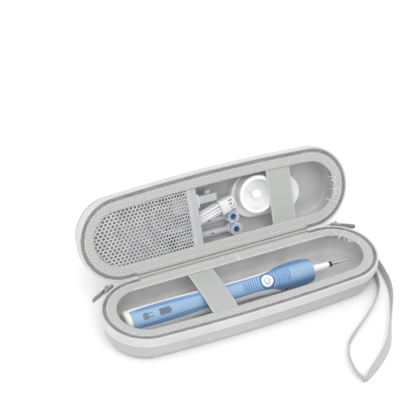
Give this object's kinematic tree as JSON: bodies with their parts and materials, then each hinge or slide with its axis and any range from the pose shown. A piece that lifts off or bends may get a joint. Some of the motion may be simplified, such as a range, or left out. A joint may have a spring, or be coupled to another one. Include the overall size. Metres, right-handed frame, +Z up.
{
  "type": "electric toothbrush travel case",
  "caption": "Zipped hard travel case, hinged lid open, with a strapped-in electric toothbrush, its charger, cord, plug and two brush heads.",
  "frame": {"origin": "on the table under the middle of the base's zip line", "axes": "+X along the case towards the brush's neck, +Y towards the hinge, +Z up"},
  "size_m": [0.2452, 0.1986, 0.09],
  "materials": {
    "moulded_skin": "satin grained PU skin, pearl grey",
    "lining_cloth": "smooth brushed lining, light grey",
    "rim_webbing": "pale smooth band, slight sheen",
    "zip_tape_weave": "woven herringbone zip tape, grey",
    "zip_teeth": "dark grey nylon coil",
    "elastic_webbing": "ribbed elastic, grey",
    "net_mesh": "open hexagonal net, light grey",
    "dark_steel": "dark nickel plate, glossy",
    "bright_metal": "bright steel, brushed",
    "strap_webbing": "flat woven ribbon, light grey",
    "white_plastic": "glossy white",
    "blue_grip": "soft satin blue",
    "cream_plastic": "satin cream grey",
    "grey_window": "translucent grey",
    "blue_ring": "glossy blue",
    "red_lens": "translucent red",
    "seal_rubber": "matte dark grey",
    "cell_sleeve": "steel cell in a green sleeve",
    "motor_can": "zinc plated steel",
    "board_laminate": "green laminate",
    "copper_winding": "enamelled copper wire",
    "frame_plastic": "plain moulded grey",
    "cord_jacket": "satin white",
    "pink_ring": "pink",
    "teal_ring": "teal",
    "nylon_bristle": "white and pale blue nylon, dark blue middle",
    "tie_plastic": "soft white wrap"
  },
  "bodies": {
    "base": {"base_elastic_strap": "elastic_webbing", "base_hinge_panel": "rim_webbing", "base_lining": "lining_cloth", "base_rim_band": "rim_webbing", "base_shell": "moulded_skin", "base_zip_coil": "zip_teeth", "base_zip_tape": "zip_tape_weave", "battery_cell": "cell_sleeve", "button_ring": "blue_ring", "charging_coil": "copper_winding", "circuit_board": "board_laminate", "handle_end_cap": "cream_plastic", "handle_grip": "blue_grip", "handle_shell": "white_plastic", "indicator_windows": "grey_window", "inner_frame": "frame_plastic", "left_zip_slider": "dark_steel", "motor": "motor_can", "neck_collar": "white_plastic", "pressure_light": "red_lens", "right_zip_slider": "dark_steel", "shaft_seal": "seal_rubber", "strap_clasp": "dark_steel", "strap_loop": "strap_webbing", "strap_ring": "dark_steel", "wrist_strap": "strap_webbing"},
    "lid": {"charger_body": "white_plastic", "charger_coil": "copper_winding", "charger_cover": "white_plastic", "charger_post": "white_plastic", "cord_hank": "cord_jacket", "cord_lead": "cord_jacket", "cord_relief": "cord_jacket", "cord_tail": "cord_jacket", "cord_tie": "tie_plastic", "head_1_colour_ring": "pink_ring", "head_1_stem": "white_plastic", "head_2_colour_ring": "teal_ring", "head_2_stem": "white_plastic", "lid_elastic_strap": "elastic_webbing", "lid_hinge_panel": "rim_webbing", "lid_lining": "lining_cloth", "lid_rim_band": "rim_webbing", "lid_shell": "moulded_skin", "lid_zip_coil": "zip_teeth", "lid_zip_tape": "zip_tape_weave", "mesh_pocket": "net_mesh", "plug_blades": "bright_metal", "plug_body": "white_plastic", "plug_sleeve": "cord_jacket", "pocket_edge_band": "elastic_webbing"},
    "left_pull": {"left_zip_pull": "dark_steel"},
    "right_pull": {"right_zip_pull": "dark_steel"},
    "button": {"power_button": "white_plastic"},
    "shaft": {"drive_shaft": "bright_metal"},
    "brush_disc_1": {"head_1_disc": "white_plastic", "head_1_bristles": "nylon_bristle"},
    "brush_disc_2": {"head_2_disc": "white_plastic", "head_2_bristles": "nylon_bristle"}
  },
  "joints": [
    {"name": "lid_hinge", "type": "hinge", "parent": "base", "child": "lid", "pos_m": [0, 0.034, 0.026], "axis": [1, 0, 0], "range_deg": [-54.2, 115.8]},
    {"name": "left_zip_pull_swing", "type": "hinge", "parent": "base", "child": "left_pull", "pos_m": [-0.10316, 0.03402, 0.02245], "axis": [0, 0, 1], "range_deg": [-70, 10]},
    {"name": "right_zip_pull_swing", "type": "hinge", "parent": "base", "child": "right_pull", "pos_m": [0.10316, 0.03402, 0.02245], "axis": [0, 0, 1], "range_deg": [-10, 70]},
    {"name": "power_button_press", "type": "slide", "parent": "base", "child": "button", "axis": [0, 0.5592, -0.829], "range_m": [0, 0.0008], "stiffness_N_per_m": 400},
    {"name": "drive_shaft_turn", "type": "hinge", "parent": "base", "child": "shaft", "pos_m": [0.078, 0.0003, 0.0139], "axis": [1, 0, 0], "range_deg": [-25, 25]},
    {"name": "brush_disc_1_turn", "type": "hinge", "parent": "lid", "child": "brush_disc_1", "pos_m": [0.0157, 0.0592, 0.04136], "axis": [0, -0.9003, 0.4352], "range_deg": [-25, 25]},
    {"name": "brush_disc_2_turn", "type": "hinge", "parent": "lid", "child": "brush_disc_2", "pos_m": [0.017, 0.05441, 0.03146], "axis": [0, -0.9003, 0.4352], "range_deg": [-25, 25]}
  ]
}
